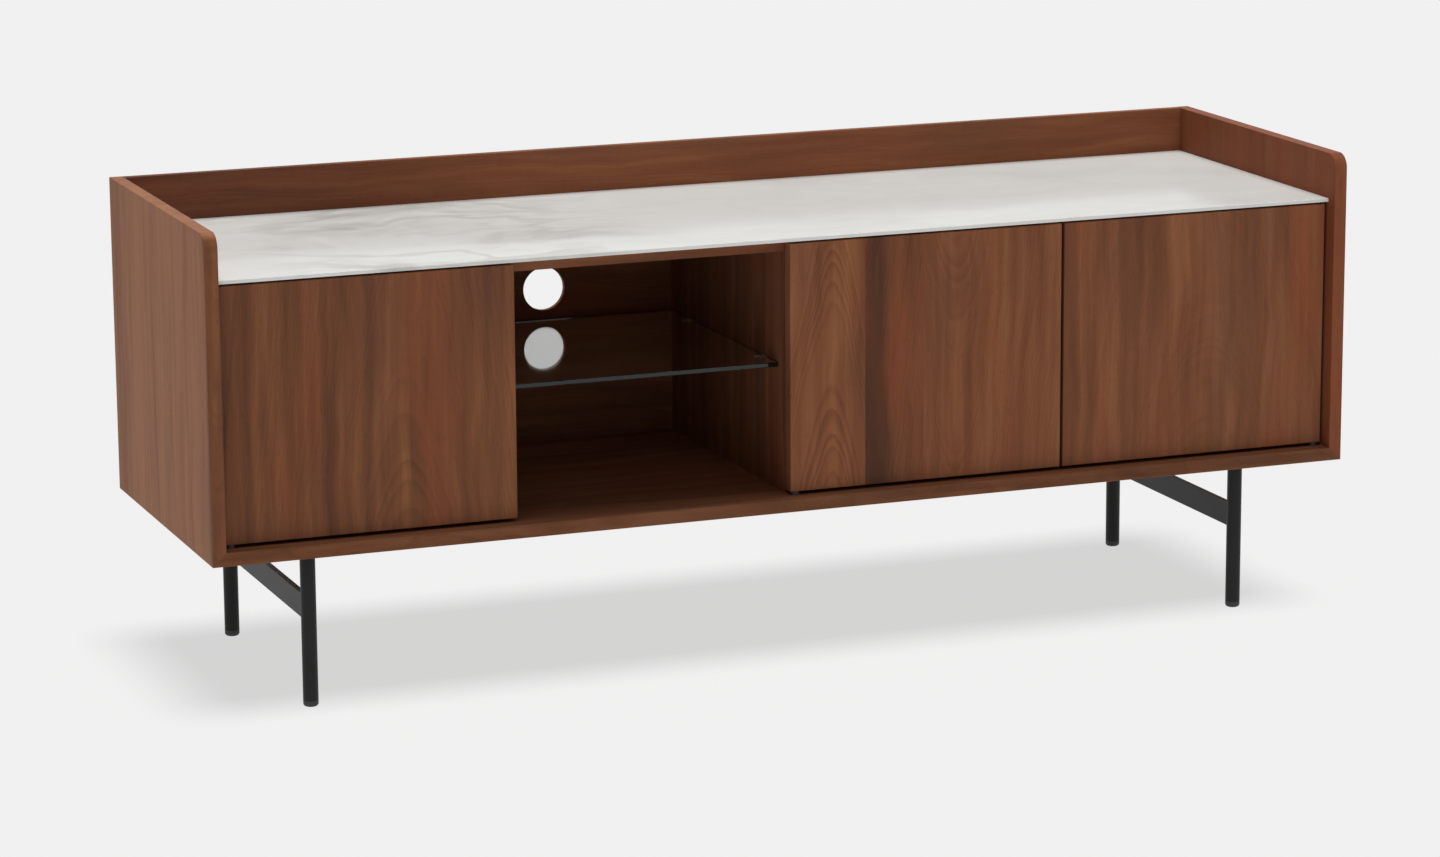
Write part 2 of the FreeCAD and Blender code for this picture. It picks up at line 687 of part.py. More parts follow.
def make_pivot_pins(doc):
    """Six pins: up into the foot of each door, and down into its head."""
    body = make_body(doc, "pivot_pins")
    circles = [(x, PIVOT_Y, "pin_radius") for x in PIVOT_X.values()]
    extrude(body, "z", f"{BOTTOM_TOP} - pivot_plate", "pivot_plate + door_foot_gap + pin_reach",
            circles=circles)
    extrude(body, "z", f"{STONE_BASE} - door_head_gap - pin_reach", "door_head_gap + pin_reach",
            circles=circles)
    return body


def make_bumpers(doc):
    """Soft pads on the front edges that the doors close against."""
    body = make_body(doc, "door_bumpers")
    high = f"{SUB_TOP_BASE} + sub_top_board / 2"
    low = f"{BOTTOM_TOP} + door_setback"
    places = [(DIVIDER_X["left"], high), (DIVIDER_X["left"], low),
              (f"{MEETING_X} - bumper_from_meeting", high), (f"{MEETING_X} + bumper_from_meeting", high)]
    extrude(body, "y", f"{FRAME_FRONT_Y} - bumper", "bumper",
            circles=[(x, z, "bumper_radius") for x, z in places])
    return body


def latch_screw_places():
    y = f"{LATCH_FRONT_Y} + latch_flange_start + latch_flange_length / 2"
    return [(f"{x} + {hand} * latch_screw_offset", y) for x in LATCH_X.values() for hand in (-1, 1)]


def make_latch_housings(doc):
    """The three latch bodies under the sub-top, each with a blind bore and two ears."""
    body = make_body(doc, "latch_housings")
    extrude(body, "y", LATCH_FRONT_Y, "latch_length",
            outlines=[rectangle(f"{x} - latch_half_width", f"{SUB_TOP_BASE} - latch_height",
                                f"{x} + latch_half_width", SUB_TOP_BASE) for x in LATCH_X.values()])
    round_edges(doc, body, "edge_round",
                lambda edge, box: lies_at(edge, "Z", box.ZMin) and edge.Length > LONG_EDGE)
    extrude(body, "y", f"{LATCH_FRONT_Y} + latch_flange_start", "latch_flange_length",
            outlines=[rectangle(f"{x} - latch_flange_half_width", f"{SUB_TOP_BASE} - latch_flange",
                                f"{x} + latch_flange_half_width", SUB_TOP_BASE) for x in LATCH_X.values()])
    extrude(body, "y", LATCH_FRONT_Y, "latch_bore_depth", cut=True,
            circles=[(x, LATCH_Z, "plunger_radius + running_play") for x in LATCH_X.values()])
    extrude(body, "z", f"{SUB_TOP_BASE} - latch_flange", "latch_flange", cut=True,
            circles=[(x, y, "back_screw_radius") for x, y in latch_screw_places()])
    return body


def make_latch_screws(doc):
    body = make_body(doc, "latch_screws")
    head_base = f"{SUB_TOP_BASE} - latch_flange - back_screw_head"
    extrude(body, "z", f"{SUB_TOP_BASE} - latch_flange", "latch_flange + latch_screw_reach",
            circles=[(x, y, "back_screw_radius") for x, y in latch_screw_places()])
    extrude(body, "z", head_base, "back_screw_head",
            circles=[(x, y, "back_screw_head_radius") for x, y in latch_screw_places()])
    return body


def make_door(doc, name):
    """A door whose own origin is on its pivot axis, at its lower edge."""
    _, width, reach = DOORS[name]
    body = make_body(doc, f"door_{name}", PIVOT_X[name], PIVOT_Y, DOOR_BASE)
    extrude(body, "z", "0", DOOR_HEIGHT,
            outlines=[rectangle(f"0 - {reach} * pivot_inset", "0 - pivot_from_face",
                                f"{reach} * ({width} - pivot_inset)", "board - pivot_from_face")])
    round_edges(doc, body, "edge_round", lambda edge, box: lies_at(edge, "Y", box.YMin))
    socket = [("0", "0", "bush_radius")]
    extrude(body, "z", "0", "bush_length", circles=socket, cut=True)
    extrude(body, "z", f"{DOOR_HEIGHT} - bush_length", "bush_length", circles=socket, cut=True)
    return body


def make_bushes(doc, name):
    """A flanged bush that carries the door, and a plain one at its head."""
    body = make_body(doc, f"door_bushes_{name}", PIVOT_X[name], PIVOT_Y, DOOR_BASE)
    bore = ("0", "0", "pin_radius + running_play")
    extrude(body, "z", "0", "bush_length", circles=[("0", "0", "bush_radius"), bore])
    extrude(body, "z", "lift_play - door_foot_gap", "door_foot_gap - lift_play",
            circles=[("0", "0", "bush_flange_radius"), bore])
    extrude(body, "z", f"{DOOR_HEIGHT} - bush_length", "bush_length",
            circles=[("0", "0", "bush_radius"), bore])
    return body


def make_strike(doc, name):
    """The steel plate on the back of a door, opposite its latch."""
    body = make_body(doc, f"strike_plate_{name}", LATCH_X[name], DOOR_REAR_Y, LATCH_Z)
    extrude(body, "y", "0", "strike",
            outlines=[rectangle("0 - strike_half_width", "0 - strike_half_height",
                                "strike_half_width", "strike_half_height")])
    return body


def make_plunger(doc, name):
    body = make_body(doc, f"latch_plunger_{name}", LATCH_X[name], f"{TIP_FRONT_Y} + tip_length", LATCH_Z)
    extrude(body, "y", "0", "plunger_length", circles=[("0", "0", "plunger_radius")])
    return body


def make_tip(doc, name):
    """The magnet on the front of a plunger."""
    body = make_body(doc, f"latch_magnet_{name}", LATCH_X[name], TIP_FRONT_Y, LATCH_Z)
    extrude(body, "y", "0", "tip_length", circles=[("0", "0", "tip_radius")])
    return body


def make_spring(doc, name):
    """A helical spring in the bore of a latch, pressed short behind the plunger."""
    body = make_body(doc, f"latch_spring_{name}", LATCH_X[name],
                     f"{TIP_FRONT_Y} + tip_length + plunger_length", LATCH_Z)
    sketch = draw_profile(body, "z", "0",
                          circles=[("spring_radius", "2 * spring_wire_radius", "spring_wire_radius")])
    coil = body.newObject("PartDesign::AdditiveHelix", "Coil")
    coil.Profile = sketch
    coil.ReferenceAxis = (sketch, ["V_Axis"])
    coil.setExpression("Pitch", formula("spring_pitch"))
    coil.setExpression("Height", formula("spring_length - 2 * spring_wire_radius"))
    return body


def make_carcass(doc):
    boards = [make_side_panel(doc, "left", -1), make_side_panel(doc, "right", 1)]
    boards += [make_bottom_panel(doc), make_sub_top(doc), make_stone_top(doc), make_gallery(doc)]
    boards += [make_divider(doc, side) for side in DIVIDER_X]
    boards += make_back_panels(doc)
    boards += [make_mitre_spline(doc, "left", -1), make_mitre_spline(doc, "right", 1)]
    return boards


def make_shelves(doc):
    return [
        make_shelf(doc, "shelf_left", "left", "shelf_setback", "board"),
        make_shelf(doc, "shelf_right", "right", "shelf_setback", "board"),
        make_shelf(doc, "glass_shelf", "open", "glass_setback", "glass"),
        make_shelf_pins(doc, "shelf_pins_left", "left"),
        make_shelf_pins(doc, "shelf_pins_right", "right"),
        make_shelf_pins(doc, "glass_shelf_pins", "open"),
    ]


def make_fasteners(doc):
    makers = (make_divider_screws, make_divider_dowels, make_gallery_dowels, make_cams,
              make_cam_bolts, make_back_screws, make_bumpers)
    return [make(doc) for make in makers]


def make_leg_frames(doc):
    legs = [make_leg(doc, end, side) for side in LEG_X for end in LEG_Y]
    braces = [make_brace(doc, side) for side in LEG_X]
    return legs + braces + [make_glides(doc), make_leg_plates(doc), make_leg_screws(doc)]


def make_doors(doc):
    plates = [make_pivot_plates(doc, "lower", BOTTOM_TOP), make_pivot_plates(doc, "upper", STONE_BASE)]
    doors = [make(doc, name) for name in DOORS for make in (make_door, make_bushes, make_strike)]
    return plates + [make_plate_screws(doc), make_pivot_pins(doc)] + doors


def make_latches(doc):
    latches = [make(doc, name) for name in DOORS for make in (make_plunger, make_tip, make_spring)]
    return [make_latch_housings(doc), make_latch_screws(doc)] + latches


def check(doc, pieces):
    """Stops if any feature failed, or any piece is empty or not a valid solid."""
    for item in doc.Objects:
        if {"Invalid", "Error"} & set(item.State):
            raise RuntimeError(f"{item.Label} did not build: {item.State}")
    for piece in pieces:
        shape = piece.Shape
        if shape.isNull() or not shape.isValid() or not shape.Solids:
            raise RuntimeError(f"{piece.Label} is not a valid solid")


def main():
    doc = FreeCAD.newDocument("media_cabinet")
    make_sheet(doc)
    pieces = make_carcass(doc) + make_shelves(doc) + make_fasteners(doc)
    pieces += make_leg_frames(doc) + make_doors(doc) + make_latches(doc)
    doc.recompute()
    check(doc, pieces)
    os.makedirs("parts", exist_ok=True)
    for piece in pieces:
        piece.Shape.exportStep(f"parts/{piece.Label}.step")
        print(f"{piece.Label}: {len(piece.Shape.Solids)} solids, {piece.Shape.Volume / 1000:.1f} cm3")
    return doc, pieces


main()
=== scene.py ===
import json
import math
from collections import namedtuple

import bpy
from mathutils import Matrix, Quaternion, Vector

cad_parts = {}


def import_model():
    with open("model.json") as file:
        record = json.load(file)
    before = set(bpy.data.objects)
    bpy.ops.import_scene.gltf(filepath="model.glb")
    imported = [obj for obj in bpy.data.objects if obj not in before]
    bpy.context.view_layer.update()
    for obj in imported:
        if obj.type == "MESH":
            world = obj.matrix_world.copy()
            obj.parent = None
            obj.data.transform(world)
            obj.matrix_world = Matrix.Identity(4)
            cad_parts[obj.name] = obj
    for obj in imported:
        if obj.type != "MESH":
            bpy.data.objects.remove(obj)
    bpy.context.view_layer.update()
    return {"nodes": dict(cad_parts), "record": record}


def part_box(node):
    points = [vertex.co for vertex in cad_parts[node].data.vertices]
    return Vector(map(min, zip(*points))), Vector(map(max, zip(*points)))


# The looks of the media cabinet: walnut veneer, pale stone, clear glass, black powder-coated
# steel, and the fittings. Everything is in metres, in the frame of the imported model.

# The view: angles in degrees round the point that the camera looks at
VIEW_AZIMUTH = -21.1
VIEW_ELEVATION = 12.46
VIEW_ROLL = -0.35
VIEW_DISTANCE = 6.381
VIEW_TARGET = Vector((-0.0232, 0.0, 0.2719))
LENS_MM = 117.36
SENSOR_MM = 36

# The stage: how bright the surround looks and how much of that it lights things with, and how
# much light the floor reflects and gives off
BACKDROP = 0.888
AMBIENT = 0.12
FLOOR_ALBEDO = 0.08
FLOOR_GLOW = 0.65
FLOOR_HALF_SIZE = 60

# A far lamp: where it stands and how wide it looks, in degrees, and its strength
Lamp = namedtuple("Lamp", "azimuth elevation strength spread")
OVERHEAD_ON_FLOOR = Lamp(60, 87, 8.5, 14)
OVERHEAD_SOFTBOX = Lamp(180, 84, 2.12, 30)
FRONT_SOFTBOX = Lamp(-10, 38, 0.66, 40)

AXES = "xyz"


def srgb(red, green, blue):
    """A display colour, 0 to 255 in each part, as the linear colour that shaders take."""
    def linear(value):
        value /= 255
        return value / 12.92 if value <= 0.04045 else ((value + 0.055) / 1.055) ** 2.4
    return (linear(red), linear(green), linear(blue), 1.0)


class Graph:
    """The nodes of one material or world, with a method for each kind of step."""

    def __init__(self, owner):
        owner.use_nodes = True
        self.tree = owner.node_tree
        self.tree.nodes.clear()

    def add(self, kind, inputs=None, **settings):
        node = self.tree.nodes.new("ShaderNode" + kind)
        for name, value in settings.items():
            setattr(node, name, value)
        for key, value in (inputs or {}).items():
            self.feed(node.inputs[key], value)
        return node

    def feed(self, socket, value):
        if isinstance(value, bpy.types.NodeSocket):
            self.tree.links.new(value, socket)
        else:
            socket.default_value = value

    def math(self, operation, *values, clamp=False):
        return self.add("Math", dict(enumerate(values)), operation=operation, use_clamp=clamp).outputs[0]

    def join(self, x, y, z):
        return self.add("CombineXYZ", {0: x, 1: y, 2: z}).outputs[0]

    def split(self, vector):
        return self.add("SeparateXYZ", {0: vector}).outputs

    def shift(self, vector, offset):
        return self.add("VectorMath", {0: vector, 1: offset}, operation="ADD").outputs[0]

    def noise(self, vector, scale=1.0, detail=2.0, roughness=0.5):
        inputs = {"Vector": vector, "Scale": scale, "Detail": detail, "Roughness": roughness}
        return self.add("TexNoise", inputs).outputs[0]

    def noise_along(self, value, detail=1.0):
        inputs = {"W": value, "Scale": 1.0, "Detail": detail}
        return self.add("TexNoise", inputs, noise_dimensions="1D").outputs[0]

    def smooth(self, value, low, high, to_low=0.0, to_high=1.0):
        inputs = {"Value": value, "From Min": low, "From Max": high, "To Min": to_low, "To Max": to_high}
        return self.add("MapRange", inputs, interpolation_type="SMOOTHSTEP").outputs[0]

    def pick(self, factor, low, high):
        return self.add("Mix", {0: factor, 2: low, 3: high}, data_type="FLOAT").outputs[0]

    def mix(self, factor, low, high, blend_type="MIX"):
        inputs = {0: factor, 6: low, 7: high}
        return self.add("Mix", inputs, data_type="RGBA", blend_type=blend_type).outputs[2]

    def ramp(self, factor, stops):
        node = self.add("ValToRGB", {0: factor})
        elements = node.color_ramp.elements
        while len(elements) < len(stops):
            elements.new(0.5)
        for element, (place, colour) in zip(elements, stops):
            element.position = place
            element.color = colour
        return node.outputs[0]

    def bump(self, height, distance, strength=1.0):
        inputs = {"Height": height, "Distance": distance, "Strength": strength}
        return self.add("Bump", inputs).outputs[0]

    def place(self):
        """Where a point of the surface lies, in metres."""
        return self.add("TexCoord").outputs["Object"]


def new_material(name):
    material = bpy.data.materials.new(name)
    graph = Graph(material)
    return material, graph


def surface(graph, **sockets):
    """The material's one shader. A name's underscores stand for the spaces in the socket's name."""
    inputs = {key.replace("_", " "): value for key, value in sockets.items()}
    shader = graph.add("BsdfPrincipled", inputs)
    output = graph.add("OutputMaterial")
    graph.tree.links.new(shader.outputs[0], output.inputs["Surface"])


# Walnut ------------------------------------------------------------------------------------

# One strip of veneer. start is where it begins across the board, centre is where its arches
# stand, both as shares of the board's width. pith is how far behind the face the tree's middle
# lay, taper is how fast its rings close in along the grain (the more, the shorter the arches),
# and rings is how strongly the rings show. light and red shift the wood's colour; on the left
# side panel and the bottom panel light also holds painted light.
Leaf = namedtuple("Leaf", "start centre pith taper rings light red")

# A soft dark streak: where it stands as a share of the width, how wide it is, and how strong
Streak = namedtuple("Streak", "place width strength")

# Growth rings: their width in metres, how far they stray from even spacing, and how fast
# their spacing and their strength change from ring to ring
RING_WIDTH = 0.0046
RING_WANDER = 2.6
RING_WANDER_RATE = 0.37
RING_STRENGTH_RATE = 0.23

# How far apart in the noise one leaf or one board starts from the next
LEAF_STEP = 7.3
BOARD_STEP = 3.7

# Noise drawn out along the grain: how often it changes per metre across, along and through
SWAY = (5.0, 2.6, 5.0)
BROAD_BANDS = (24.0, 1.3, 20.0)
NARROW_BANDS = (72.0, 4.2, 60.0)
FIBRES = (520.0, 9.0, 520.0)
PORES = (1900.0, 75.0, 1900.0)
WARMTH = (11.0, 2.2, 5.0)

# How far the figure sways, in metres, and how much each layer lightens or darkens the wood
SWAY_WIDTH = 0.05
RINGS_TONE = -0.34
BROAD_TONE = 0.75
NARROW_TONE = 0.8
FIBRES_TONE = 0.28

# The gallery board darkens towards its left end
GALLERY_DARK_END = 0.45
DARK_END_LENGTH = 0.7

DARK = srgb(86, 55, 41)
MIDDLE = srgb(128, 81, 55)
PALE = srgb(162, 109, 76)
RED = srgb(150, 79, 51)
PURPLE = srgb(98, 66, 55)
PORE = srgb(56, 32, 21)


def board_frame(graph, node, along):
    """Coordinates across, along and through a board, in metres from its low corner."""
    low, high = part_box(node)
    size = high - low
    others = sorted((i for i in range(3) if i != AXES.index(along)), key=lambda i: size[i])
    through, across = others
    parts = graph.split(graph.shift(graph.place(), tuple(-low)))
    return parts[across], parts[AXES.index(along)], parts[through], size[across]


def leaf_values(graph, across, width, leaves):
    """Each leaf's own numbers, chosen by where a point lies across the board."""
    beyond = [graph.math("GREATER_THAN", across, leaf.start * width) for leaf in leaves[1:]]
    chosen = {"number": 0.0}
    for field in ("centre", "pith", "taper", "rings", "light", "red"):
        scale = width if field == "centre" else 1.0
        value = getattr(leaves[0], field) * scale
        for passed, leaf in zip(beyond, leaves[1:]):
            value = graph.pick(passed, value, getattr(leaf, field) * scale)
        chosen[field] = value
    for passed in beyond:
        chosen["number"] = graph.math("ADD", chosen["number"], passed)
    return chosen


def stretched(graph, board, own, scales):
    """A place for noise that is drawn out along the grain."""
    across, length, through = board
    scale_across, scale_along, scale_through = scales
    return graph.join(graph.math("MULTIPLY_ADD", across, scale_across, own),
                      graph.math("MULTIPLY", length, scale_along),
                      graph.math("MULTIPLY", through, scale_through))


def growth_rings(graph, board, leaf, own):
    """Late wood, 0 to 1: cones round the pith, cut by the board's face."""
    across, length, through = board
    aside = graph.math("SUBTRACT", across, leaf["centre"])
    behind = graph.math("ADD", through, leaf["pith"])
    behind_squared = graph.math("MULTIPLY", behind, behind)
    radius = graph.math("SQRT", graph.math("MULTIPLY_ADD", aside, aside, behind_squared))
    radius = graph.math("MULTIPLY_ADD", length, leaf["taper"], radius)
    ring = graph.math("ADD", graph.math("DIVIDE", radius, RING_WIDTH), own)
    wander = graph.noise_along(graph.math("MULTIPLY", ring, RING_WANDER_RATE), 2.0)
    ring = graph.math("MULTIPLY_ADD", wander, RING_WANDER, ring)
    season = graph.math("FRACT", ring)
    late = graph.math("SUBTRACT", graph.smooth(season, 0.2, 0.8), graph.smooth(season, 0.82, 1.0))
    strength = graph.noise_along(graph.math("MULTIPLY", ring, RING_STRENGTH_RATE), 1.0)
    return graph.math("MULTIPLY", late, graph.smooth(strength, 0.25, 0.7))


def make_walnut(name, node, along, seed, leaves, streaks=(), dark_end=0.0):
    """Matt lacquered walnut, whose figure runs through the whole thickness of the board."""
    material, graph = new_material(name)
    across, length, through, width = board_frame(graph, node, along)
    leaf = leaf_values(graph, across, width, leaves)
    own = graph.math("MULTIPLY_ADD", leaf["number"], LEAF_STEP, seed * BOARD_STEP)

    # The rings and bands sway a little from side to side, and the fibres and pores do not
    still = (across, length, through)
    sway = graph.noise(stretched(graph, still, own, SWAY), detail=3.0, roughness=0.55)
    swayed = graph.math("MULTIPLY_ADD", graph.math("SUBTRACT", sway, 0.5), SWAY_WIDTH, across)
    board = (swayed, length, through)

    late = growth_rings(graph, board, leaf, own)
    broad = graph.noise(stretched(graph, board, own, BROAD_BANDS), detail=2.0, roughness=0.5)
    narrow = graph.noise(stretched(graph, board, own, NARROW_BANDS), detail=2.5, roughness=0.5)
    fibres = graph.noise(stretched(graph, still, own, FIBRES), detail=3.0, roughness=0.6)
    fibres = graph.math("SUBTRACT", fibres, 0.5)
    specks = graph.noise(stretched(graph, still, own, PORES), detail=1.0)
    pores = graph.smooth(specks, 0.66, 0.74)

    # Tone: 0 is dark wood, 0.5 is middling and 1 is pale
    end_tone = graph.smooth(length, 0.0, DARK_END_LENGTH, 0.5 - dark_end, 0.5)
    tone = graph.math("ADD", leaf["light"], end_tone)
    tone = graph.math("MULTIPLY_ADD", late, graph.math("MULTIPLY", leaf["rings"], RINGS_TONE), tone)
    tone = graph.math("MULTIPLY_ADD", graph.math("SUBTRACT", broad, 0.5), BROAD_TONE, tone)
    tone = graph.math("MULTIPLY_ADD", graph.math("SUBTRACT", narrow, 0.5), NARROW_TONE, tone)
    tone = graph.math("MULTIPLY_ADD", fibres, FIBRES_TONE, tone)
    for streak in streaks:
        off = graph.math("ABSOLUTE", graph.math("SUBTRACT", swayed, streak.place * width))
        tone = graph.math("SUBTRACT", tone, graph.smooth(off, 0.0, streak.width, streak.strength, 0.0))
    colour = graph.ramp(tone, [(0.0, DARK), (0.5, MIDDLE), (1.0, PALE)])

    # Reddish and purplish patches, then the dark pores
    warmth = graph.noise(stretched(graph, board, own, WARMTH), detail=2.0)
    reddish = graph.math("ADD", graph.smooth(warmth, 0.5, 0.8, 0.0, 0.55), leaf["red"], clamp=True)
    colour = graph.mix(reddish, colour, RED)
    colour = graph.mix(graph.smooth(warmth, 0.22, 0.46, 0.4, 0.0), colour, PURPLE)
    colour = graph.mix(graph.math("MULTIPLY", pores, 0.5), colour, PORE)

    relief = graph.math("MULTIPLY_ADD", pores, -1.0, graph.math("MULTIPLY", fibres, 0.5))
    roughness = graph.math("MULTIPLY_ADD", fibres, 0.12, graph.math("MULTIPLY_ADD", pores, 0.2, 0.55))
    surface(graph, Base_Color=colour, Roughness=roughness, Specular_IOR_Level=0.08,
            Normal=graph.bump(relief, 0.00012, 0.6))
    return material


# Straight grain has its arches far outside the board
STRAIGHT = [Leaf(0, -2.2, 0.05, 0.10, 0.4, 0.0, 0.0)]

# Each board's grain direction, leaves and streaks. A board's place in this table seeds its noise.
WALNUT_BOARDS = {
    # The left side's leaf is set pale (light 0.42): partly the veneer's own paler tone, partly painted
    # light standing in for light from the left and the sheen seen at a grazing angle. Its narrow streak
    # at 0.0 darkens its front edge.
    "side_panel_left": ("z", [Leaf(0, 2.4, 0.05, 0.08, 0.3, 0.42, 0.0)],
                        [Streak(0.93, 0.05, 0.2), Streak(0.0, 0.012, 0.5)]),
    "side_panel_right": ("z", [Leaf(0, -1.6, 0.05, 0.08, 0.4, -0.06, 0.45)], []),
    # The bottom board's leaf is set paler (light 0.14): partly its own tone, partly painted light for
    # the lit front of the open bay's floor.
    "bottom_panel": ("x", [Leaf(0, -1.4, 0.05, 0.03, 0.4, 0.14, 0.0)], []),
    "sub_top_panel": ("x", [Leaf(0, 1.9, 0.05, 0.03, 0.4, 0.0, 0.0)], []),
    "gallery_board": ("x", [Leaf(0, -2.5, 0.02, 0.02, 0.3, 0.08, 0.2)], []),
    "divider_left": ("z", STRAIGHT, []),
    "divider_right": ("z", STRAIGHT, []),
    "back_panel_left": ("x", STRAIGHT, []),
    "back_panel_centre": ("x", STRAIGHT, []),
    "back_panel_right": ("x", STRAIGHT, []),
    "shelf_left": ("x", STRAIGHT, []),
    "shelf_right": ("x", STRAIGHT, []),
    "door_left": ("z", [Leaf(0, 0.63, 0.09, 0.11, 0.35, -0.02, 0.0)],
                  [Streak(0.355, 0.03, 0.25), Streak(0.07, 0.04, 0.18), Streak(0.84, 0.02, 0.1)]),
    "door_centre": ("z", [Leaf(0.0, 0.14, 0.030, 0.165, 0.75, 0.18, 0.12),
                          Leaf(0.272, 3.0, 0.06, 0.16, 0.5, -0.04, 0.0),
                          Leaf(0.487, 0.60, 0.05, -0.13, 0.35, 0.06, 0.08)],
                    [Streak(0.31, 0.045, 0.38), Streak(0.43, 0.02, 0.12)]),
    "door_right": ("z", [Leaf(0, 0.55, 0.16, 0.16, 0.2, 0.05, 0.06)],
                   [Streak(0.02, 0.03, 0.2), Streak(0.36, 0.015, 0.1)]),
}


def make_walnut_boards():
    """One material for each walnut board, since each board has its own figure."""
    materials = {}
    for seed, (node, (along, leaves, streaks)) in enumerate(WALNUT_BOARDS.items()):
        dark_end = GALLERY_DARK_END if node == "gallery_board" else 0.0
        materials[node] = make_walnut("walnut_" + node, node, along, seed, leaves, streaks, dark_end)
    return materials


# Stone -------------------------------------------------------------------------------------

# How far the clouds are pushed about, in metres, and how often they change per metre
CLOUD_WARP = (0.22, 0.22, 0.0)
CLOUD_SCALE = (3.4, 6.2, 6.2)

# How strongly the clouds and veins show where the slab is plain
PLAIN_SPREAD = 0.14

CLOUD_LIGHT = srgb(236, 236, 232)
CLOUD_SOFT = srgb(231, 230, 226)
CLOUD_GREY = srgb(186, 184, 180)
VEIN_GREY = srgb(176, 173, 168)
SPECK_WHITE = srgb(240, 240, 238)


def make_stone():
    """Polished pale slab, with soft grey clouds and fine veins towards its left end."""
    material, graph = new_material("stone_polished")
    low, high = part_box("stone_top")
    size = high - low
    place = graph.shift(graph.place(), tuple(-low))

    # Clouds, and the veins where a second noise crosses its own middle value
    warp = graph.add("TexNoise", {"Vector": place, "Scale": 3.2, "Detail": 3.0}).outputs[1]
    inputs = {0: warp, 1: CLOUD_WARP, 2: place}
    bent = graph.add("VectorMath", inputs, operation="MULTIPLY_ADD").outputs[0]
    scaled = graph.add("VectorMath", {0: bent, 1: CLOUD_SCALE}, operation="MULTIPLY").outputs[0]
    cloud = graph.noise(scaled, 1.0, 5.0, 0.62)
    ridge = graph.noise(scaled, 0.8, 3.0, 0.55)
    ridge = graph.math("ABSOLUTE", graph.math("SUBTRACT", ridge, 0.5))
    vein = graph.smooth(ridge, 0.0, 0.045, 1.0, 0.0)

    # Both show between the left end and the middle, and only faintly elsewhere
    share = graph.math("DIVIDE", graph.split(place)[0], size.x)
    begins = graph.smooth(share, 0.02, 0.16)
    ends = graph.smooth(share, 0.27, 0.44, 1.0, 0.0)
    spread = graph.pick(graph.math("MULTIPLY", begins, ends), PLAIN_SPREAD, 1.0)

    colour = graph.mix(graph.smooth(cloud, 0.35, 0.7), CLOUD_LIGHT, CLOUD_SOFT)
    grey = graph.math("MULTIPLY", graph.smooth(cloud, 0.45, 0.75), graph.math("MULTIPLY", spread, 0.75))
    colour = graph.mix(grey, colour, CLOUD_GREY)
    veined = graph.math("MULTIPLY", vein, graph.math("MULTIPLY", spread, 0.35))
    colour = graph.mix(veined, colour, VEIN_GREY)
    speck = graph.smooth(graph.noise(place, 900.0, 2.0), 0.62, 0.75, 0.0, 0.18)
    colour = graph.mix(speck, colour, SPECK_WHITE)
    roughness = graph.smooth(cloud, 0.3, 0.8, 0.10, 0.17)
    surface(graph, Base_Color=colour, Roughness=roughness, Specular_IOR_Level=0.03,
            Normal=graph.bump(cloud, 0.0002, 0.1))
    return material


# Glass -------------------------------------------------------------------------------------

# How close to the shelf's outline a point counts as on its cut edge, in metres. There the glass is made
# opaque and painted dark.
GLASS_EDGE = 0.0001


def make_glass():
    """Clear float glass whose cut edges are opaque and painted near-black green: partly the glass's own
    green, partly painted shade in place of the light that would pass along the sheet.
    """
    material, graph = new_material("glass_clear")
    low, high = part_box("glass_shelf")
    middle = (low + high) / 2
    place = graph.place()
    ripple = graph.noise(place, 7.0, 1.0)
    tint = graph.mix(ripple, srgb(236, 243, 240), srgb(240, 245, 242))
    parts = graph.split(place)
    clear = 1.0
    # Cut edges: no transmission and a near-black green colour, a painted dark edge
    for axis in range(2):
        off = graph.math("ABSOLUTE", graph.math("SUBTRACT", parts[axis], middle[axis]))
        edge = graph.math("GREATER_THAN", off, high[axis] - middle[axis] - GLASS_EDGE)
        tint = graph.mix(edge, tint, srgb(18, 22, 20))
        clear = graph.math("MULTIPLY", clear, graph.math("SUBTRACT", 1.0, edge))
    surface(graph, Base_Color=tint, Roughness=0.02, IOR=1.5, Transmission_Weight=clear,
            Normal=graph.bump(ripple, 0.0004, 0.1))
    return material


# Metals, plastics and raw wood ---------------------------------------------------------------

def make_powder_coat():
    material, graph = new_material("steel_powder_coat")
    grain = graph.noise(graph.place(), 1500.0, 2.0, 0.6)
    wear = graph.noise(graph.place(), 14.0, 3.0)
    colour = graph.mix(wear, srgb(22, 22, 22), srgb(29, 29, 28))
    roughness = graph.smooth(grain, 0.3, 0.7, 0.38, 0.55)
    surface(graph, Base_Color=colour, Roughness=roughness, Specular_IOR_Level=0.22,
            Normal=graph.bump(grain, 0.00015, 0.5))
    return material


def make_zinc():
    material, graph = new_material("steel_zinc_plate")
    cloud = graph.noise(graph.place(), 60.0, 3.0)
    colour = graph.mix(cloud, srgb(178, 180, 182), srgb(205, 204, 200))
    roughness = graph.smooth(cloud, 0.3, 0.7, 0.24, 0.42)
    surface(graph, Base_Color=colour, Metallic=1.0, Roughness=roughness)
    return material


BEECH_ACROSS = 600.0
BEECH_ALONG = 20.0


def make_beech(node, along):
    material, graph = new_material("beech_" + node)
    parts = graph.split(graph.place())
    scales = [BEECH_ALONG if axis == along else BEECH_ACROSS for axis in AXES]
    scaled = [graph.math("MULTIPLY", part, scale) for part, scale in zip(parts, scales)]
    fibre = graph.noise(graph.join(*scaled), 1.0, 3.0)
    colour = graph.mix(fibre, srgb(196, 158, 112), srgb(222, 188, 142))
    surface(graph, Base_Color=colour, Roughness=0.7, Normal=graph.bump(fibre, 0.0001, 0.5))
    return material


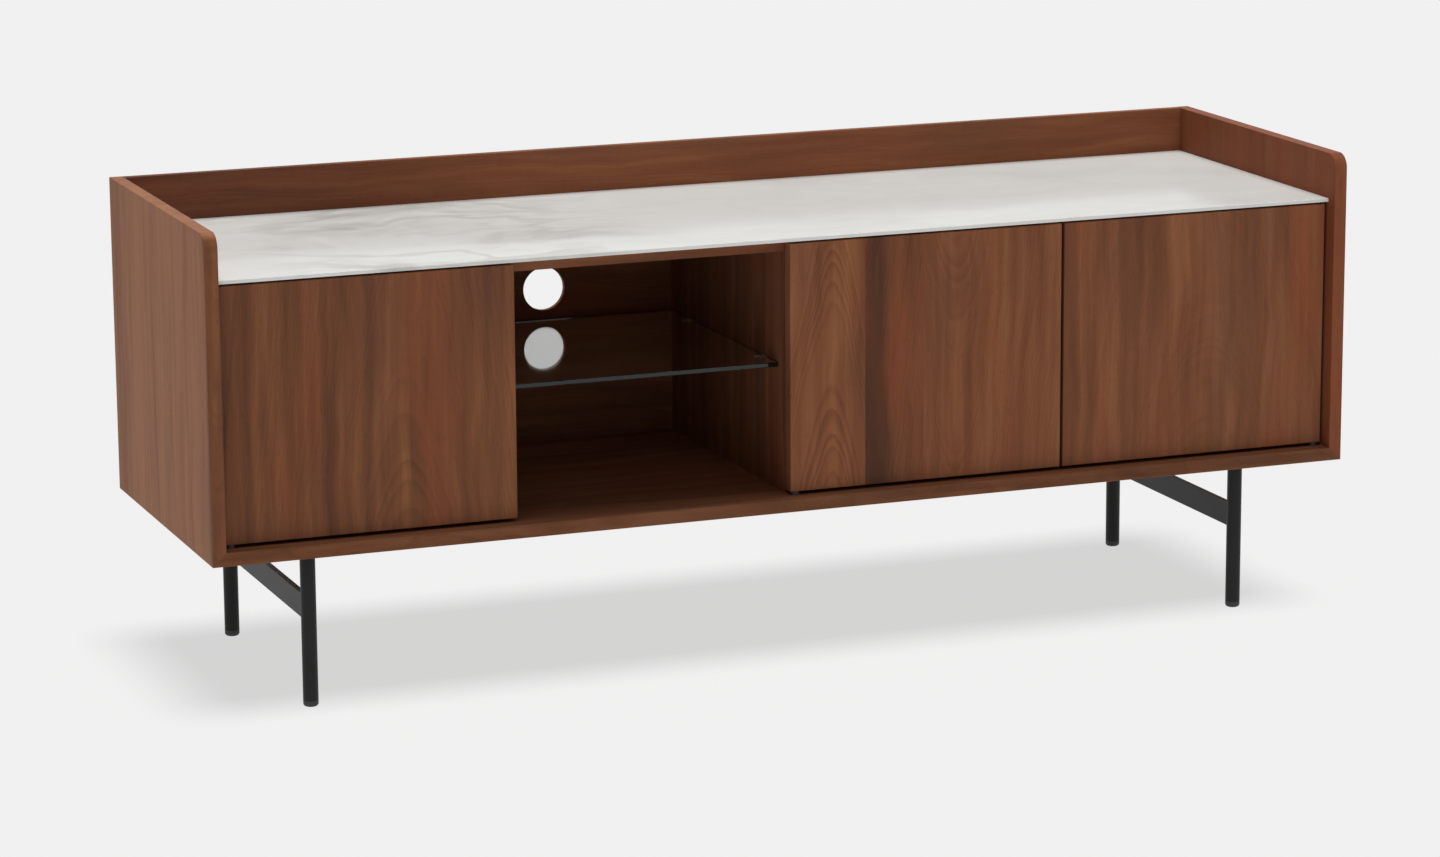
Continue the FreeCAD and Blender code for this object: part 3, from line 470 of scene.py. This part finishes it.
def make_moulded(name, dark, light, roughness):
    """A moulded plastic with a fine spark-eroded texture."""
    material, graph = new_material(name)
    cloud = graph.noise(graph.place(), 40.0, 2.0)
    grain = graph.noise(graph.place(), 2600.0, 1.0)
    colour = graph.mix(cloud, dark, light)
    rough = graph.smooth(grain, 0.3, 0.7, roughness - 0.06, roughness + 0.06)
    surface(graph, Base_Color=colour, Roughness=rough, Normal=graph.bump(grain, 0.00008, 0.5))
    return material


def make_clear_rubber():
    material, graph = new_material("rubber_clear")
    cloud = graph.noise(graph.place(), 90.0, 2.0)
    colour = graph.mix(cloud, srgb(214, 214, 208), srgb(230, 230, 226))
    surface(graph, Base_Color=colour, Roughness=0.35, Transmission_Weight=0.5, IOR=1.45)
    return material


# The raw beech pieces, with the axis that their grain runs along
BEECH_GRAIN = {
    "divider_dowels": "z",
    "gallery_dowels": "z",
    "mitre_spline_left": "y",
    "mitre_spline_right": "y",
}


def dress(frame):
    """Gives every CAD node the material of its slot in the record."""
    walnut = make_walnut_boards()
    shared = {
        "stone": make_stone(),
        "glass": make_glass(),
        "black_steel": make_powder_coat(),
        "zinc_steel": make_zinc(),
        "black_nylon": make_moulded("nylon_black", srgb(34, 34, 34), srgb(42, 42, 42), 0.55),
        "grey_nylon": make_moulded("nylon_grey", srgb(150, 150, 148), srgb(162, 162, 160), 0.5),
        "clear_rubber": make_clear_rubber(),
    }
    for part in frame["record"]["subparts"]:
        node, slot = part["node"], part["material_slot"]
        if slot == "walnut":
            material = walnut[node]
        elif slot == "beech":
            material = make_beech(node, BEECH_GRAIN[node])
        else:
            material = shared[slot]
        piece = frame["nodes"][node]
        piece.data.materials.clear()
        piece.data.materials.append(material)


# Stage -------------------------------------------------------------------------------------

def make_floor():
    """A wide pale floor: it glows evenly, so that shadows on it stay light."""
    half = FLOOR_HALF_SIZE
    mesh = bpy.data.meshes.new("floor")
    corners = [(-half, -half, 0), (half, -half, 0), (half, half, 0), (-half, half, 0)]
    mesh.from_pydata(corners, [], [(0, 1, 2, 3)])
    floor = bpy.data.objects.new("floor", mesh)
    bpy.context.scene.collection.objects.link(floor)
    material, graph = new_material("floor_pale")
    matt = graph.add("BsdfDiffuse", {"Color": (FLOOR_ALBEDO, FLOOR_ALBEDO, FLOOR_ALBEDO, 1)})
    glow = graph.add("Emission", {"Color": (1, 1, 1, 1), "Strength": FLOOR_GLOW})
    both = graph.add("AddShader", {0: matt.outputs[0], 1: glow.outputs[0]})
    output = graph.add("OutputMaterial")
    graph.tree.links.new(both.outputs[0], output.inputs["Surface"])
    mesh.materials.append(material)
    return floor


def make_world():
    """An even pale surround, dimmer as a source of light than it looks."""
    world = bpy.data.worlds.new("studio")
    graph = Graph(world)
    seen = graph.math("SUBTRACT", 1.0, graph.add("LightPath").outputs["Is Diffuse Ray"])
    strength = graph.pick(seen, AMBIENT, BACKDROP)
    sky = graph.add("Background", {"Color": (1, 1, 1, 1), "Strength": strength})
    output = graph.add("OutputWorld")
    graph.tree.links.new(sky.outputs[0], output.inputs["Surface"])
    bpy.context.scene.world = world


def make_sun(name, lamp):
    """A large soft source, far away."""
    light = bpy.data.lights.new(name, "SUN")
    light.energy = lamp.strength
    light.angle = math.radians(lamp.spread)
    sun = bpy.data.objects.new(name, light)
    sun.rotation_mode = "QUATERNION"
    sun.rotation_quaternion = direction(lamp.azimuth, lamp.elevation).to_track_quat("Z", "Y")
    bpy.context.scene.collection.objects.link(sun)
    return sun


def direction(azimuth, elevation):
    """The unit vector towards a place seen at azimuth 0 from the front, and -90 from the left."""
    turn, rise = math.radians(azimuth), math.radians(elevation)
    return Vector((math.sin(turn) * math.cos(rise), -math.cos(turn) * math.cos(rise), math.sin(rise)))


def make_group(name, pieces):
    """A collection that only says which pieces a light reaches, or which pieces shade it."""
    group = bpy.data.collections.new(name)
    for piece in pieces:
        group.objects.link(piece)
    return group


def make_lights(frame, floor):
    """One overhead lamp for the floor, one for the cabinet, and one in front of it that leaves
    the open bay dark."""
    nodes = frame["nodes"]
    outside = ("door_", "side_panel_", "gallery_board", "stone_top", "leg_", "foot_glides")
    fronts = [nodes[name] for name in nodes if name.startswith(outside)]
    on_floor = make_sun("overhead_on_floor", OVERHEAD_ON_FLOOR)
    on_floor.light_linking.receiver_collection = make_group("lit_floor", [floor])
    on_floor.light_linking.blocker_collection = make_group("floor_shades", [nodes["sub_top_panel"]])
    overhead = make_sun("overhead_softbox", OVERHEAD_SOFTBOX)
    overhead.light_linking.receiver_collection = make_group("lit_cabinet", nodes.values())
    front = make_sun("front_softbox", FRONT_SOFTBOX)
    front.light_linking.receiver_collection = make_group("lit_fronts", fronts)


def make_camera():
    """The camera, set back from its target along the view's direction."""
    camera = bpy.data.objects.new("camera", bpy.data.cameras.new("camera"))
    back = direction(VIEW_AZIMUTH, VIEW_ELEVATION)
    camera.rotation_mode = "QUATERNION"
    camera.rotation_quaternion = ((-back).to_track_quat("-Z", "Y")
                                  @ Quaternion((0, 0, 1), math.radians(VIEW_ROLL)))
    camera.location = VIEW_TARGET + back * VIEW_DISTANCE
    camera.data.lens = LENS_MM
    camera.data.sensor_width = SENSOR_MM
    camera.data.clip_end = 4 * FLOOR_HALF_SIZE
    bpy.context.scene.collection.objects.link(camera)
    bpy.context.scene.camera = camera


def main():
    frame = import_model()
    dress(frame)
    floor = make_floor()
    make_world()
    make_lights(frame, floor)
    make_camera()
    bpy.context.scene.view_settings.view_transform = "Standard"


main()
